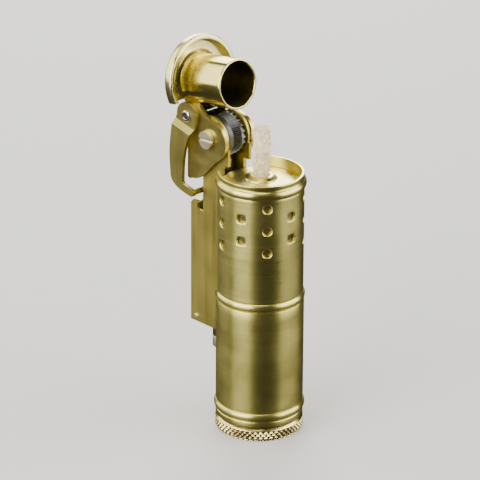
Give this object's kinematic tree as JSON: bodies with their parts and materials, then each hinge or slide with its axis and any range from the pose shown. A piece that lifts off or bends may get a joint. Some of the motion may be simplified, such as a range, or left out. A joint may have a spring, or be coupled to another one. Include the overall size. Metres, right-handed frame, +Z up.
{
  "type": "petrol lighter",
  "caption": "Cylindrical brass petrol lighter with a hinged snuffer lid, spark wheel, sliding perforated wind-screen and screw filler cap.",
  "frame": {"origin": "on the round body's axis, in the plane of the filler cap's flat base", "axes": "+Z up along the body's axis; +X from the flint housing towards the front of the body; +Y along the wheel's axle, away from the lever"},
  "size_m": [0.0266, 0.0166, 0.0713],
  "materials": {
    "casing_brass": "satin, fine rings of brush lines round the tube",
    "screen_brass": "satin, fine rings of brush lines, bright hole edges",
    "tank_brass": "plain drawn brass",
    "dome_brass": "bright satin with light smudges",
    "knurled_brass": "knurled, polished points",
    "housing_brass": "satin sheet",
    "bracket_brass": "polished sheet with rounded edges",
    "lever_brass": "satin sheet, darker tone",
    "lid_brass": "polished",
    "snuffer_brass": "polished drawn tube",
    "screw_brass": "bright turned",
    "wheel_steel": "dark hardened steel, file-cut teeth",
    "spring_steel": "bright spring steel",
    "rivet_steel": "bright tubular rivet",
    "flint_alloy": "dull grey ferrocerium",
    "seal_rubber": "matte black",
    "cotton": "loose cotton wool",
    "wick_cotton": "braided cotton, frayed at the top"
  },
  "bodies": {
    "tank": {"tank_tube": "tank_brass", "lower_casing": "casing_brass", "top_plate": "dome_brass", "wick_tube": "dome_brass", "wick": "wick_cotton", "cotton_wadding": "cotton", "filler_neck": "tank_brass", "flint_housing": "housing_brass", "spring_pin": "screw_brass", "flint_tube": "tank_brass", "wheel_washers": "screw_brass", "axle_screw": "screw_brass", "axle_nut": "screw_brass", "lid_spring": "spring_steel"},
    "windscreen": {"windscreen_sleeve": "screen_brass"},
    "filler": {"filler_cap": "knurled_brass", "filler_gasket": "seal_rubber"},
    "wheel": {"spark_wheel": "wheel_steel", "wheel_ratchet": "wheel_steel"},
    "flint_load": {"flint": "flint_alloy", "flint_follower": "screw_brass"},
    "flint_screw": {"flint_screw": "screw_brass", "flint_spring_seat": "screw_brass", "flint_spring": "spring_steel"},
    "lid": {"lid_bracket": "bracket_brass", "lid_disc": "lid_brass", "snuffer_tube": "snuffer_brass", "ratchet_pawl": "spring_steel", "pawl_rivets": "screw_brass", "lever_rivet": "rivet_steel"},
    "lever": {"lid_lever": "lever_brass"}
  },
  "joints": [
    {"name": "lid_hinge", "type": "hinge", "parent": "tank", "child": "lid", "pos_m": [-0.0099, 0, 0.0541], "axis": [0, 1, 0], "range_deg": [0, 98.7], "deforming": ["lid_spring"]},
    {"name": "lever_swing", "type": "hinge", "parent": "lid", "child": "lever", "pos_m": [-0.0146, 0, 0.05745], "axis": [0, 1, 0], "range_deg": [-63, 0]},
    {"name": "wheel_spin", "type": "hinge", "parent": "tank", "child": "wheel", "pos_m": [-0.0099, 0, 0.0541], "axis": [0, 1, 0], "continuous": true},
    {"name": "windscreen_slide", "type": "slide", "parent": "tank", "child": "windscreen", "axis": [0, 0, 1], "range_m": [0, 0.007]},
    {"name": "flint_feed", "type": "slide", "parent": "tank", "child": "flint_load", "axis": [0, 0, -1], "range_m": [0, 0.002], "stiffness_N_per_m": 100, "springref_m": -0.004, "deforming": ["flint_spring"]},
    {"name": "flint_screw_travel", "type": "slide", "parent": "tank", "child": "flint_screw", "axis": [0, 0, -1], "range_m": [0, 0.0021]},
    {"name": "filler_travel", "type": "slide", "parent": "tank", "child": "filler", "axis": [0, 0, -1], "range_m": [0, 0.0043]}
  ],
  "couplings": [
    {"joint": "lever_swing", "follows": "lid_hinge", "ratio": -0.6357}
  ]
}
